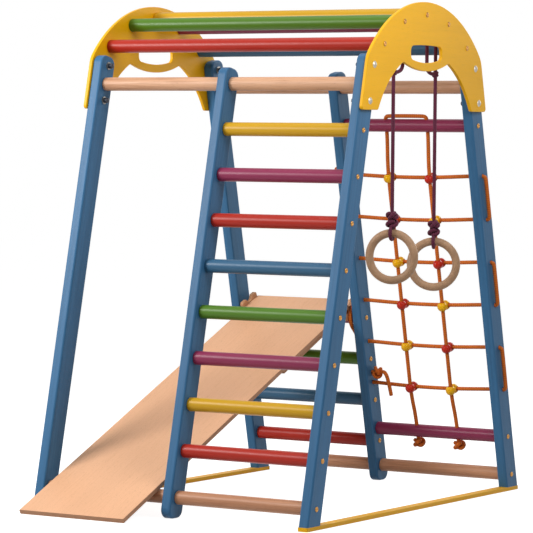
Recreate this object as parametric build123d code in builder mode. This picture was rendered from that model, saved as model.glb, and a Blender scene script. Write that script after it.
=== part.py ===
from build123d import *
from math import asin, atan2, cos, degrees, hypot, radians, sin
import os

# Indoor wooden climbing gym: A-frame with slide, rung ladder, rope net, monkey bars and rings.

os.makedirs("parts", exist_ok=True)

# Stand: two end frames and one middle frame of leaning posts. All sizes in millimetres.
height = 1300.0
length = 845.0
post_width = 28.0
post_depth = 60.0
post_ease = 5.0
post_round = 22.0
foot_spread = 519.0
lean = 12.72
end_post_drop = 110.0
middle_post_drop = 144.0
middle_shift = -6.0
runner_thickness = 10.0
runner_overhang = 2.0
runner_ease = 2.5

# Bars: rows are measured along a post from the floor.
bar_diameter = 35.0
bar_end_round = 2.5
row_margin = 120.0
ladder_rows = 10
ladder_first_row = 53.0
back_first_row = 115.0
back_rows = 4
back_low_row = 45.0
net_low_bar_row = 152.0
net_high_bar_drop = 289.0

# End panels: an arch with two feet and a hand hold.
panel_thickness = 9.0
panel_radius = 373.0
panel_foot_drop = 277.0
panel_side_margin = 5.0
panel_shoulder_round = 60.0
panel_foot_round = 9.0
panel_ease = 1.5
arch_radius = 272.0
arch_centre_drop = 400.0
hold_half_span = 117.0
hold_drop = 22.0
hold_shoulder_round = 10.0
hand_hole_width = 160.0
hand_hole_drop = 110.0
hand_hole_side_height = 36.0
hand_hole_height = 45.0
hand_hole_crown = 3.0
hand_hole_round = 14.0
bar_circle_radius = 327.0
bar_circle_drop = 32.5
bar_spread_angle = 20.4

# Fasteners.
screw_diameter = 4.5
screw_grip = 26.0
screw_head_diameter = 12.0
screw_head_height = 3.2
screw_head_sink = 0.2
screw_socket = 5.6
screw_socket_depth = 2.0
bolt_diameter = 6.0
bolt_dome_diameter = 18.0
bolt_dome_height = 4.5
bolt_upper_drop = 136.0
bolt_lower_drop = 228.5
nut_diameter = 20.0
nut_flange = 3.0
nut_barrel_diameter = 14.0
nut_height = 16.0
stud_diameter = 8.0
stud_grip = 30.0
foot_screw_spacing = 26.0
foot_screw_grip = 38.0
hole_clearance = 0.15
lace_clearance = 0.9

# Slide: a plain board with two hook brackets and two stiffening battens.
board_thickness = 12.0
board_ease = 2.0
board_tail = 40.0
board_side_clearance = 14.0
board_over_bar = 0.4
board_over_hook = 4.5
bracket_thickness = 9.0
bracket_half_length = 38.0
bracket_horn_reach = 20.0
bracket_front_reach = 24.0
bracket_rear_reach = 52.0
bracket_round = 7.0
bracket_dish = 12.0
bracket_screw_spacing = 48.0
hook_clearance = 0.3
batten_length = 330.0
batten_width = 40.0
batten_thickness = 6.0
batten_screw_spacing = 250.0
batten_screw_grip = 6.0

# Climbing net: one rope across, one rope up and down, joined by two-lobed connectors.
net_rope_diameter = 11.0
net_rows = 6
net_first_row = 284.5
net_turn_radius = 7.0
net_turn_standoff = 7.0
net_slant_radius = 60.0
net_bulge = 1.5
net_lead = 18.0
net_mouth = 4.0
net_sag = 6.0
net_sag_radius = 200.0
net_end_rise = 29.0
net_end_out = 17.0
net_tail = [(42.0, -4.0, 4.5), (56.0, -12.0, -13.0), (61.5, -14.0, -59.0)]
net_tail_radius = 8.0
net_detour_gap = 3.5
net_detour_radius = 16.0
lobe_diameter = 23.0
lobe_spacing = 15.0
lobe_clearance = 0.7
knot_core = 0.93
knot_wrap = 1.15
knot_rise = 0.3
knot_tilt = 28.0

# Hanging rings.
ring_outer_diameter = 140.0
ring_rod_diameter = 19.0
ring_rope_diameter = 10.0
ring_rope_clearance = 0.4
ring_knot_drop = 1.6
ring_eye_squeeze = 0.97
ring_knots = 2
ring_knot_pitch = 20.0
ring_knot_tilt = 26.0
ring_eye_drop = 111.0
ring_eye_turn = 17.0
ring_eye_collar = 16.0
ring_eye_collar_length = 13.0
front_ring_along = 404.0
front_ring_height = 653.0
front_ring_turn = 11.0
back_ring_along = 372.0
back_ring_height = 624.0
back_ring_turn = 24.0

# Worked-out places.
lean_sin = sin(radians(lean))
lean_cos = cos(radians(lean))
bar_radius = bar_diameter / 2
face_out = length / 2
face_in = face_out - panel_thickness
post_in = face_in - post_width
middle_left = middle_shift - post_width / 2
middle_right = middle_shift + post_width / 2
runner_half = foot_spread - runner_thickness * lean_sin / lean_cos + post_depth / 2 / lean_cos
runner_half = runner_half + runner_overhang
end_post_top = height - end_post_drop
middle_post_top = height - middle_post_drop
row_pitch = (height - row_margin) / ladder_rows
net_high_bar_row = height - net_high_bar_drop
panel_foot_height = height - panel_foot_drop
arch_centre_height = height - arch_centre_drop
hand_hole_top = height - hand_hole_drop
hand_hole_side = hand_hole_top - hand_hole_side_height
hand_hole_bottom = hand_hole_top - hand_hole_height
bolt_upper_row = height - bolt_upper_drop
bolt_lower_row = height - bolt_lower_drop
ladder_row = [ladder_first_row + row_pitch * i for i in range(ladder_rows)]
back_row = [back_first_row + row_pitch * i for i in range(back_rows)]
net_row = [net_first_row + row_pitch * i for i in range(net_rows)]
screw_length = post_width + screw_grip


def bare_row(side, along):
    """Place of a row, across and up, before the stand is set back."""
    return side * (foot_spread - along * lean_sin), along * lean_cos


# The board lies on the lowest front bar and hangs on the top back rung, with its foot on the floor.
bar_y, bar_z = bare_row(-1, ladder_row[0])
hook_y, hook_z = bare_row(1, back_row[-1])
under_bar = bar_radius + board_over_bar
under_hook = bar_radius + board_over_hook
slope = atan2(hook_z - bar_z, hook_y - bar_y)
slope = slope + asin((under_hook - under_bar) / hypot(hook_y - bar_y, hook_z - bar_z))
hook_along = (hook_z + under_hook * cos(slope)) / sin(slope)
board_length = hook_along + board_tail
foot_y = hook_y - hook_along * cos(slope) - under_hook * sin(slope)
front_reach = foot_y - board_thickness * sin(slope)

# The origin is on the floor, half way between the foot of the slide and the back of the runners.
stand_y = -(front_reach + runner_half) / 2
board_left = -post_in + bracket_thickness + board_side_clearance
board_right = middle_left - bracket_thickness - board_side_clearance


def row_place(side, along):
    """Centre of a row on the front (-1) or back (+1) posts, as Y and Z."""
    across, up = bare_row(side, along)
    return stand_y + across, up


def post_plane(side, x):
    """Plane of a post's left face: its own X is across the post, its own Y runs up the post."""
    return Plane((x, stand_y + side * foot_spread, 0), (0, lean_cos, side * lean_sin), (1, 0, 0))


def net_point(x, off, along):
    """Point of the net: along the bars, off the posts' middle plane, up the posts."""
    y = stand_y + foot_spread - along * lean_sin + off * lean_cos
    return x, y, along * lean_cos + off * lean_sin


def slide_plane(x):
    """Plane across the slide: its own X runs up the underside, its own Y out of the top face."""
    return Plane((x, stand_y + foot_y, 0), (0, cos(slope), sin(slope)), (1, 0, 0))


def save(builder, name):
    builder.part.label = name
    export_step(builder.part, f"parts/{name}.step")


# Posts.
def make_post(name, side, x, top, foot, floor_round, screws_left, screws_right, through, feet):
    """One leaning post with eased edges, its screw, rope and bolt holes, and its foot pilots."""
    half = post_depth / 2
    tip = side * half * lean_sin
    with BuildPart() as post:
        with BuildSketch(post_plane(side, x)) as outline:
            with BuildLine():
                Polyline(
                    (-half, (foot + tip) / lean_cos),
                    (half, (foot - tip) / lean_cos),
                    (half, top),
                    (-half, top),
                    close=True,
                )
            make_face()
            fillet(outline.vertices().group_by(Axis.Y)[-1], post_round)
            if floor_round:
                fillet(outline.vertices().sort_by(Axis.Y)[:2], post_round)
        extrude(amount=post_width)
        grain = Axis((0, 0, 0), (0, -side * lean_sin, lean_cos))
        fillet(post.edges().filter_by(grain), post_ease)
        for along, diameter in through:
            with BuildSketch(post_plane(side, x)):
                with Locations((0, along)):
                    Circle(diameter / 2)
            extrude(amount=post_width, mode=Mode.SUBTRACT)
        for along in screws_left + screws_right:
            with BuildSketch(post_plane(side, x)):
                with Locations((0, along)):
                    Circle(screw_diameter / 2 + hole_clearance)
            extrude(amount=post_width, mode=Mode.SUBTRACT)
        sink = screw_head_height + screw_head_sink
        for rows, face, way in ((screws_left, x, 1), (screws_right, x + post_width, -1)):
            for along in rows:
                with BuildSketch(post_plane(side, face)):
                    with Locations((0, along)):
                        Circle(screw_head_diameter / 2 + hole_clearance)
                extrude(amount=way * sink, mode=Mode.SUBTRACT)
        for y in feet:
            with BuildSketch(Plane.XY.offset(foot)):
                with Locations((x + post_width / 2, y)):
                    Circle(screw_diameter / 2 + hole_clearance)
            extrude(amount=foot_screw_grip, mode=Mode.SUBTRACT)
    save(post, name)


def foot_places(side):
    """Y of the two screws that hold a post on its runner."""
    middle = stand_y + side * (foot_spread - runner_thickness * lean_sin / lean_cos)
    return [middle - foot_screw_spacing / 2, middle + foot_screw_spacing / 2]


bolt_hole = bolt_diameter + 2 * hole_clearance
stud_hole = stud_diameter + 2 * hole_clearance
lace_hole = net_rope_diameter + 2 * lace_clearance
bolt_rows = [bolt_upper_row, bolt_lower_row]
bolt_holes = [(row, bolt_hole) for row in bolt_rows]
rope_holes = [(row, lace_hole) for row in net_row]
end_hole = [(net_row[0] + net_end_rise, lace_hole)]
top_row = ladder_row[-1]
ladder_ends = [ladder_row[0], top_row]
back_ends = [back_low_row, top_row]
net_bar_rows = [net_low_bar_row, net_high_bar_row]
front_studs = [(row, stud_hole) for row in ladder_ends]
back_studs = [(row, stud_hole) for row in back_ends]

make_post("leg_front_left", -1, -face_in, end_post_top, runner_thickness, False,
          ladder_ends, [], bolt_holes, foot_places(-1))
make_post("leg_back_left", 1, -face_in, end_post_top, runner_thickness, False,
          back_row + back_ends, [], bolt_holes, foot_places(1))
make_post("leg_front_right", -1, post_in, end_post_top, runner_thickness, False,
          [], ladder_row, bolt_holes, foot_places(-1))
make_post("leg_back_right", 1, post_in, end_post_top, runner_thickness, False,
          [], net_bar_rows + back_ends, bolt_holes + rope_holes, foot_places(1))
make_post("post_front_middle", -1, middle_left, middle_post_top, 0, True,
          ladder_row[1:-1], [], front_studs, [])
make_post("post_back_middle", 1, middle_left, middle_post_top, 0, True,
          net_bar_rows, back_row, back_studs + rope_holes + end_hole, [])

# Runners under the end frames.
for name, x in (("runner_left", -face_in), ("runner_right", post_in)):
    with BuildPart() as runner:
        with BuildSketch(Plane.XY):
            with Locations((x + post_width / 2, stand_y)):
                Rectangle(post_width, 2 * runner_half)
        extrude(amount=runner_thickness)
        fillet(runner.edges().filter_by(Axis.Z), runner_ease)
        for y in foot_places(-1) + foot_places(1):
            with BuildSketch(Plane.XY):
                with Locations((x + post_width / 2, y)):
                    Circle(screw_diameter / 2 + hole_clearance)
            extrude(amount=runner_thickness, mode=Mode.SUBTRACT)
            with BuildSketch(Plane.XY):
                with Locations((x + post_width / 2, y)):
                    Circle(screw_head_diameter / 2 + hole_clearance)
            extrude(amount=screw_head_height + screw_head_sink, mode=Mode.SUBTRACT)
    save(runner, name)


# Bars: dowels with rounded ends and a pilot hole in each end.
def make_bar(name, x_from, x_to, place, left_pilot, right_pilot, rope_at=()):
    """One dowel between two faces. A pilot is a diameter and a depth."""
    with BuildPart() as bar:
        with BuildSketch(Plane.YZ.offset(x_from)):
            with Locations(place):
                Circle(bar_radius)
        extrude(amount=x_to - x_from)
        fillet(bar.edges().filter_by(GeomType.CIRCLE), bar_end_round)
        for face, way, pilot in ((x_from, 1, left_pilot), (x_to, -1, right_pilot)):
            with BuildSketch(Plane.YZ.offset(face)):
                with Locations(place):
                    Circle(pilot[0] / 2)
            extrude(amount=way * pilot[1], mode=Mode.SUBTRACT)
        for x in rope_at:
            up = Plane((x, place[0], place[1]), (1, 0, 0), (0, -lean_sin, lean_cos))
            with BuildSketch(up):
                Circle(lace_hole / 2)
            extrude(amount=bar_radius, both=True, mode=Mode.SUBTRACT)
    save(bar, name)


screw_pilot = (screw_diameter + 2 * hole_clearance, screw_grip)
stud_pilot = (stud_hole, stud_grip)
net_bay = post_in - middle_right
net_up = [middle_right + net_bay / 3, middle_right + net_bay * 2 / 3]

for number, row in enumerate(ladder_row[1:-1]):
    make_bar(f"ladder_rung_{number + 1}", middle_right, post_in, row_place(-1, row),
             screw_pilot, screw_pilot)
for number, row in enumerate(back_row):
    make_bar(f"back_rung_{number + 1}", -post_in, middle_left, row_place(1, row),
             screw_pilot, screw_pilot)
for side, word, low in ((-1, "front", ladder_row[0]), (1, "back", back_low_row)):
    for row, level in ((low, "bottom"), (top_row, "top")):
        make_bar(f"{level}_bar_{word}_left", -post_in, middle_left, row_place(side, row),
                 screw_pilot, stud_pilot)
        make_bar(f"{level}_bar_{word}_right", middle_right, post_in, row_place(side, row),
                 stud_pilot, screw_pilot)
make_bar("net_bar_low", middle_right, post_in, row_place(1, net_low_bar_row),
         screw_pilot, screw_pilot, net_up)
make_bar("net_bar_high", middle_right, post_in, row_place(1, net_high_bar_row),
         screw_pilot, screw_pilot, net_up)

# Monkey bars stand on a circle below the crown of the panels.
crown_centre = height - bar_circle_drop - bar_circle_radius
monkey_place = []
for step in range(-2, 3):
    angle = radians(bar_spread_angle * step)
    monkey_place.append((stand_y + bar_circle_radius * sin(angle),
                         crown_centre + bar_circle_radius * cos(angle)))
for number, place in enumerate(monkey_place):
    make_bar(f"monkey_bar_{number + 1}", -face_in, face_in, place, screw_pilot, screw_pilot)

# End panels.
panel_centre = height - panel_radius
side_offset = post_depth / 2 + panel_side_margin
arch_top = arch_centre_height + (arch_radius**2 - hold_half_span**2) ** 0.5
arch_foot = (arch_radius**2 - (panel_foot_height - arch_centre_height) ** 2) ** 0.5


def side_edge(up):
    """Half width of a panel's leg at a height: parallel to the post behind it."""
    return foot_spread - up * lean_sin / lean_cos + side_offset / lean_cos


def shoulder_height():
    """Height where the crown arc meets the panel's leg."""
    low = panel_centre
    high = height
    for _ in range(60):
        middle = (low + high) / 2
        if (panel_radius**2 - (middle - panel_centre) ** 2) ** 0.5 > side_edge(middle):
            low = middle
        else:
            high = middle
    return low


shoulder = shoulder_height()
foot_edge = side_edge(panel_foot_height)
shoulder_edge = side_edge(shoulder)
inner_angle = (atan2(panel_foot_height - arch_centre_height, arch_foot)
               + atan2(arch_top - arch_centre_height, hold_half_span)) / 2
inner_middle = (arch_radius * cos(inner_angle), arch_centre_height + arch_radius * sin(inner_angle))
hole_half = hand_hole_width / 2


def panel_plane(x):
    """Plane of a panel's face: its own X is across the stand from its middle, its own Y is up."""
    return Plane((x, stand_y, 0), (0, 1, 0), (1, 0, 0))


panel_screw_places = [(y - stand_y, z) for y, z in monkey_place]
panel_bolt_places = [bare_row(side, row) for side in (-1, 1) for row in bolt_rows]

for name, x, outer, way in (("end_panel_left", -face_out, -face_out, 1),
                            ("end_panel_right", face_in, face_out, -1)):
    with BuildPart() as panel:
        with BuildSketch(panel_plane(x)) as outline:
            with BuildLine():
                ThreePointArc((-shoulder_edge, shoulder), (0, height), (shoulder_edge, shoulder))
                Polyline((shoulder_edge, shoulder), (foot_edge, panel_foot_height),
                         (arch_foot, panel_foot_height))
                ThreePointArc((arch_foot, panel_foot_height), inner_middle, (hold_half_span, arch_top))
                ThreePointArc((hold_half_span, arch_top), (0, arch_top - hold_drop),
                              (-hold_half_span, arch_top))
                ThreePointArc((-hold_half_span, arch_top), (-inner_middle[0], inner_middle[1]),
                              (-arch_foot, panel_foot_height))
                Polyline((-arch_foot, panel_foot_height), (-foot_edge, panel_foot_height),
                         (-shoulder_edge, shoulder))
            make_face()
            fillet(outline.vertices().group_by(Axis.Y)[0], panel_foot_round)
            corners = outline.vertices().filter_by(lambda v: abs(v.Y - shoulder) < 0.01)
            fillet(corners, panel_shoulder_round)
            peaks = outline.vertices().filter_by(lambda v: abs(v.Y - arch_top) < 0.01)
            fillet(peaks, hold_shoulder_round)
        extrude(amount=panel_thickness)
        with BuildSketch(panel_plane(x)) as hold:
            with BuildLine():
                ThreePointArc((-hole_half, hand_hole_top - hand_hole_crown), (0, hand_hole_top),
                              (hole_half, hand_hole_top - hand_hole_crown))
                Line((hole_half, hand_hole_top - hand_hole_crown), (hole_half, hand_hole_side))
                ThreePointArc((hole_half, hand_hole_side), (0, hand_hole_bottom),
                              (-hole_half, hand_hole_side))
                Line((-hole_half, hand_hole_side), (-hole_half, hand_hole_top - hand_hole_crown))
            make_face()
            fillet(hold.vertices(), hand_hole_round)
        extrude(amount=panel_thickness, mode=Mode.SUBTRACT)
        fillet(panel.faces().filter_by(Axis.X).edges(), panel_ease)
        for places, diameter in ((panel_screw_places, screw_diameter + 2 * hole_clearance),
                                 (panel_bolt_places, bolt_hole)):
            with BuildSketch(panel_plane(x)):
                with Locations(*places):
                    Circle(diameter / 2)
            extrude(amount=panel_thickness, mode=Mode.SUBTRACT)
        with BuildSketch(panel_plane(outer)):
            with Locations(*panel_screw_places):
                Circle(screw_head_diameter / 2 + hole_clearance)
        extrude(amount=way * (screw_head_height + screw_head_sink), mode=Mode.SUBTRACT)
    save(panel, name)

# Slide board, hook brackets and battens.
board_screw_along = [hook_along - bracket_screw_spacing / 2, hook_along + bracket_screw_spacing / 2]
batten_end = hook_along - bracket_half_length
batten_start = batten_end - batten_length
batten_screw_along = [batten_start + (batten_length - batten_screw_spacing) / 2,
                      batten_end - (batten_length - batten_screw_spacing) / 2]
batten_screw_at = [board_left + batten_width / 2, board_right - batten_width / 2]


def under_plane(off):
    """Plane level with the board: its own X runs up the slide, its own Y across, off the underside."""
    return Plane((0, stand_y + foot_y - off * sin(slope), off * cos(slope)),
                 (0, cos(slope), sin(slope)), (0, -sin(slope), cos(slope)))


batten_screw_places = [(along, -x) for along in batten_screw_along for x in batten_screw_at]

with BuildPart() as board:
    with BuildSketch(slide_plane(board_left)):
        with Locations((board_length / 2, board_thickness / 2)):
            Rectangle(board_length, board_thickness)
    extrude(amount=board_right - board_left)
    fillet(board.edges().filter_by(Axis((0, 0, 0), (0, cos(slope), sin(slope)))), board_ease)
    for face, way in ((board_left, 1), (board_right, -1)):
        with BuildSketch(slide_plane(face)):
            with Locations(*[(along, board_thickness / 2) for along in board_screw_along]):
                Circle(screw_diameter / 2 + hole_clearance)
        extrude(amount=way * screw_grip, mode=Mode.SUBTRACT)
    with BuildSketch(under_plane(0)):
        with Locations(*batten_screw_places):
            Circle(screw_diameter / 2 + hole_clearance)
    extrude(amount=batten_screw_grip, mode=Mode.SUBTRACT)
save(board, "slide_board")

hook_drop = -under_hook
mid = board_thickness / 2
for name, x, outer, way in (
        ("slide_hook_left", board_left - bracket_thickness, board_left - bracket_thickness, 1),
        ("slide_hook_right", board_right, board_right + bracket_thickness, -1)):
    with BuildPart() as hook:
        with BuildSketch(slide_plane(x)) as outline:
            with BuildLine():
                slot = bar_radius + hook_clearance
                Polyline(
                    (hook_along - bracket_half_length, mid - bracket_front_reach),
                    (hook_along + slot, mid - bracket_front_reach),
                    (hook_along + slot, mid - bracket_rear_reach),
                    (hook_along + bracket_half_length, mid - bracket_rear_reach),
                    (hook_along + bracket_half_length, mid + bracket_horn_reach),
                    (hook_along - bracket_half_length, mid + bracket_horn_reach),
                    close=True,
                )
            make_face()
            with Locations((hook_along, hook_drop)):
                Circle(bar_radius + hook_clearance, mode=Mode.SUBTRACT)
            with Locations((hook_along, mid + bracket_horn_reach + bar_radius - bracket_dish)):
                Circle(bar_radius, mode=Mode.SUBTRACT)
            outer_corners = outline.vertices().filter_by(
                lambda v: abs(abs(v.X - hook_along) - bracket_half_length) < 0.01)
            fillet(outer_corners, bracket_round)
        extrude(amount=bracket_thickness)
        with BuildSketch(slide_plane(x)):
            with Locations(*[(along, mid) for along in board_screw_along]):
                Circle(screw_diameter / 2 + hole_clearance)
        extrude(amount=bracket_thickness, mode=Mode.SUBTRACT)
        with BuildSketch(slide_plane(outer)):
            with Locations(*[(along, mid) for along in board_screw_along]):
                Circle(screw_head_diameter / 2 + hole_clearance)
        extrude(amount=way * (screw_head_height + screw_head_sink), mode=Mode.SUBTRACT)
    save(hook, name)

for name, x in (("slide_batten_left", board_left), ("slide_batten_right", board_right - batten_width)):
    with BuildPart() as batten:
        with BuildSketch(slide_plane(x)):
            with Locations((batten_start + batten_length / 2, -batten_thickness / 2)):
                Rectangle(batten_length, batten_thickness)
        extrude(amount=batten_width)
        with BuildSketch(under_plane(-batten_thickness)):
            with Locations(*[p for p in batten_screw_places if x < -p[1] < x + batten_width]):
                Circle(screw_diameter / 2 + hole_clearance)
        extrude(amount=batten_thickness, mode=Mode.SUBTRACT)
        with BuildSketch(under_plane(-batten_thickness)):
            with Locations(*[p for p in batten_screw_places if x < -p[1] < x + batten_width]):
                Circle(screw_head_diameter / 2 + hole_clearance)
        extrude(amount=screw_head_height + screw_head_sink, mode=Mode.SUBTRACT)
    save(batten, name)


# Screws, studs, bolts and nuts, each kind one set of separate pieces.
def add_screws(face_plane, way, places, grip):
    """Screws whose heads lie just under a face, with the shank going in along way."""
    sunk = face_plane.offset(way * screw_head_sink)
    with BuildSketch(sunk) as shanks:
        with Locations(*places):
            Circle(screw_diameter / 2)
    extrude(shanks.sketch, amount=way * (grip - screw_head_sink))
    with BuildSketch(sunk) as heads:
        with Locations(*places):
            Circle(screw_head_diameter / 2)
    extrude(heads.sketch, amount=way * screw_head_height)
    with BuildSketch(sunk) as sockets:
        with Locations(*places):
            RegularPolygon(screw_socket / 2, 6)
    extrude(sockets.sketch, amount=way * screw_socket_depth, mode=Mode.SUBTRACT)


def rows_at(side, rows):
    """Row centres as places on a panel plane."""
    return [bare_row(side, row) for row in rows]


with BuildPart() as rung_screws:
    add_screws(panel_plane(face_in), -1, rows_at(-1, ladder_row) + rows_at(1, net_bar_rows + back_ends),
               screw_length)
    add_screws(panel_plane(-face_in), 1, rows_at(-1, ladder_ends) + rows_at(1, back_row + back_ends),
               screw_length)
    add_screws(panel_plane(middle_left), 1, rows_at(-1, ladder_row[1:-1]) + rows_at(1, net_bar_rows),
               screw_length)
    add_screws(panel_plane(middle_right), -1, rows_at(1, back_row), screw_length)
save(rung_screws, "rung_screws")

with BuildPart() as panel_screws:
    add_screws(panel_plane(face_out), -1, panel_screw_places, panel_thickness + screw_grip)
    add_screws(panel_plane(-face_out), 1, panel_screw_places, panel_thickness + screw_grip)
save(panel_screws, "panel_screws")

with BuildPart() as runner_screws:
    places = [(x + post_width / 2, y) for x in (-face_in, post_in) for y in foot_places(-1) + foot_places(1)]
    add_screws(Plane.XY, 1, places, runner_thickness + foot_screw_grip)
save(runner_screws, "runner_screws")

with BuildPart() as slide_screws:
    hook_places = [(along, mid) for along in board_screw_along]
    add_screws(slide_plane(board_left - bracket_thickness), 1, hook_places, bracket_thickness + screw_grip)
    add_screws(slide_plane(board_right + bracket_thickness), -1, hook_places, bracket_thickness + screw_grip)
    add_screws(under_plane(-batten_thickness), 1, batten_screw_places, batten_thickness + batten_screw_grip)
save(slide_screws, "slide_screws")

with BuildPart() as joining_studs:
    with BuildSketch(panel_plane(middle_left - stud_grip)):
        with Locations(*(rows_at(-1, ladder_ends) + rows_at(1, back_ends))):
            Circle(stud_diameter / 2)
    extrude(amount=post_width + 2 * stud_grip)
save(joining_studs, "joining_studs")

bolt_end = panel_thickness + post_width + nut_height / 2
dome_radius = (bolt_dome_diameter**2 / 4 + bolt_dome_height**2) / (2 * bolt_dome_height)
with BuildPart() as carriage_bolts:
    for face, way in ((face_out, -1), (-face_out, 1)):
        with BuildSketch(panel_plane(face)):
            with Locations(*panel_bolt_places):
                Circle(bolt_diameter / 2)
        extrude(amount=way * bolt_end)
        for y, z in panel_bolt_places:
            rim = Plane((face, stand_y + y, z), (-way, 0, 0), (0, 1, 0))
            with BuildSketch(rim):
                with BuildLine():
                    Line((0, 0), (bolt_dome_height, 0))
                    rise = dome_radius - bolt_dome_height
                    side_way = bolt_dome_diameter / 2 / 2**0.5
                    bulge = (dome_radius**2 - side_way**2) ** 0.5 - rise
                    ThreePointArc((bolt_dome_height, 0), (bulge, side_way), (0, bolt_dome_diameter / 2))
                    Line((0, bolt_dome_diameter / 2), (0, 0))
                make_face()
            revolve(axis=Axis((face, stand_y + y, z), (1, 0, 0)))
save(carriage_bolts, "carriage_bolts")

with BuildPart() as cap_nuts:
    for face, way in ((post_in, -1), (-post_in, 1)):
        with BuildSketch(panel_plane(face)):
            with Locations(*panel_bolt_places):
                Circle(nut_diameter / 2)
        extrude(amount=way * nut_flange)
        with BuildSketch(panel_plane(face)):
            with Locations(*panel_bolt_places):
                Circle(nut_barrel_diameter / 2)
        extrude(amount=way * nut_height)
    crowns = cap_nuts.edges().filter_by(GeomType.CIRCLE).filter_by(
        lambda e: abs(abs(e.center().X) - (post_in - nut_height)) < 0.01)
    fillet(crowns, nut_barrel_diameter / 3)
    for face, way in ((post_in, -1), (-post_in, 1)):
        with BuildSketch(panel_plane(face)):
            with Locations(*panel_bolt_places):
                Circle(bolt_diameter / 2 + hole_clearance)
        extrude(amount=way * (nut_height / 2 + hole_clearance), mode=Mode.SUBTRACT)
save(cap_nuts, "cap_nuts")


# Ropes.
def run_rope(points, radii, diameter):
    """A round rope along straight runs joined by arcs."""
    with BuildLine() as route:
        FilletPolyline(*points, radius=radii)
    with BuildSketch(Plane(route.line @ 0, z_dir=route.line % 0)) as section:
        Circle(diameter / 2)
    sweep(section.sketch, path=route.line)
    print("rope length", round(route.wire().length), "bends", [round(radius, 1) for radius in radii])


def tie_knot(centre, tangent, across, diameter, tilt):
    """A tight knot: a core and two tilted wraps round the rope."""
    wrap = diameter * knot_wrap
    frame = Plane(centre, x_dir=across, z_dir=tangent)
    with Locations(frame):
        Sphere(diameter * knot_core)
        for way in (1, -1):
            with Locations(Location((0, 0, way * diameter * knot_rise), (way * tilt, 0, 0))):
                Torus(wrap, diameter / 2)


net_out = face_in + net_turn_standoff
net_in = middle_left - net_turn_standoff
up_post = (0, -lean_sin, lean_cos)
off_post = (0, lean_cos, lean_sin)
net_knot_gap = net_rope_diameter * 1.5
rows_down = net_row[::-1]
detour_off = -(bar_radius + net_rope_diameter / 2 + net_detour_gap)
detour_half = bar_radius * 0.8


def drop_points(x, way, high, low):
    """The rope's way down a post's face from one row to the next, bowed off the face or round a rung."""
    bowed = x + way * net_bulge
    points = [net_point(x, 0, high), net_point(bowed, 0, high - net_lead)]
    radii = [net_turn_radius, net_slant_radius]
    if way < 0 and low < back_row[-1] < high:
        points.append(net_point(bowed, detour_off, back_row[-1] + detour_half))
        points.append(net_point(bowed, detour_off, back_row[-1] - detour_half))
        radii = [net_turn_radius, net_detour_radius, net_detour_radius]
        radii = radii + [net_detour_radius]
    points += [net_point(bowed, 0, low + net_lead), net_point(x, 0, low)]
    return points, radii + [radii[1], net_turn_radius]


def run_points(row):
    """One sagging run of the rope from the middle post to the end post."""
    low = row - net_sag
    return [net_point(middle_right + net_mouth, 0, row), net_point(net_up[0], 0, low),
            net_point(net_up[1], 0, low), net_point(post_in - net_mouth, 0, row)]


run_radii = [net_slant_radius, net_sag_radius, net_sag_radius, net_slant_radius]
across_points = [net_point(middle_left - net_knot_gap * 1.6, 0, rows_down[0])]
across_radii = []
for number, row in enumerate(rows_down):
    rightward = number % 2 == 0
    across_points += run_points(row) if rightward else run_points(row)[::-1]
    across_radii += run_radii
    if number < net_rows - 1:
        turn = (net_out, 1) if rightward else (net_in, -1)
        points, radii = drop_points(*turn, row, rows_down[number + 1])
        across_points += points
        across_radii += radii
end_row = net_row[0] + net_end_rise
across_points += [net_point(net_in, 0, net_row[0]), net_point(net_in, 0, end_row),
                  net_point(middle_right + net_end_out + net_rope_diameter, 0, end_row)]
across_points += [net_point(middle_right + out, off, end_row + up) for out, off, up in net_tail]
across_radii += [net_turn_radius] * 2 + [net_detour_radius, net_tail_radius, net_detour_radius]
with BuildPart() as net_across:
    run_rope(across_points, across_radii, net_rope_diameter)
    for x, row in ((middle_left - net_knot_gap, rows_down[0]), (middle_right + net_end_out, end_row)):
        tie_knot(net_point(x, 0, row), (1, 0, 0), (0, 1, 0), net_rope_diameter, knot_tilt)
save(net_across, "net_rope_across")

low_exit = net_low_bar_row + bar_radius
high_exit = net_high_bar_row - bar_radius
low_knot = net_low_bar_row - bar_radius - net_knot_gap
straight = net_rope_diameter * 1.2
cross_over = net_high_bar_row + bar_radius + net_turn_standoff


def up_points(x):
    """One upright of the net from its tail to the high bar, in front of the cross ropes."""
    return [
        net_point(x, 0, low_knot - net_knot_gap * 0.6),
        net_point(x, 0, low_exit + straight),
        net_point(x, -lobe_spacing, net_row[0] - lobe_diameter),
        net_point(x, -lobe_spacing, net_row[-1] + lobe_diameter),
        net_point(x, 0, high_exit - straight),
        net_point(x, 0, cross_over),
    ]


over_bar = [net_point(net_up[0] + net_lead, 0, cross_over + net_bulge),
            net_point(net_up[1] - net_lead, 0, cross_over + net_bulge)]
upright_points = up_points(net_up[0]) + over_bar + up_points(net_up[1])[::-1]
upright_radii = [net_slant_radius] * 4 + [net_turn_radius]
upright_radii = upright_radii + [net_slant_radius] * 2 + upright_radii[::-1]
with BuildPart() as net_upright:
    run_rope(upright_points, upright_radii, net_rope_diameter)
    for x in net_up:
        tie_knot(net_point(x, 0, low_knot), up_post, (1, 0, 0), net_rope_diameter, knot_tilt)
save(net_upright, "net_rope_upright")

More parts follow.
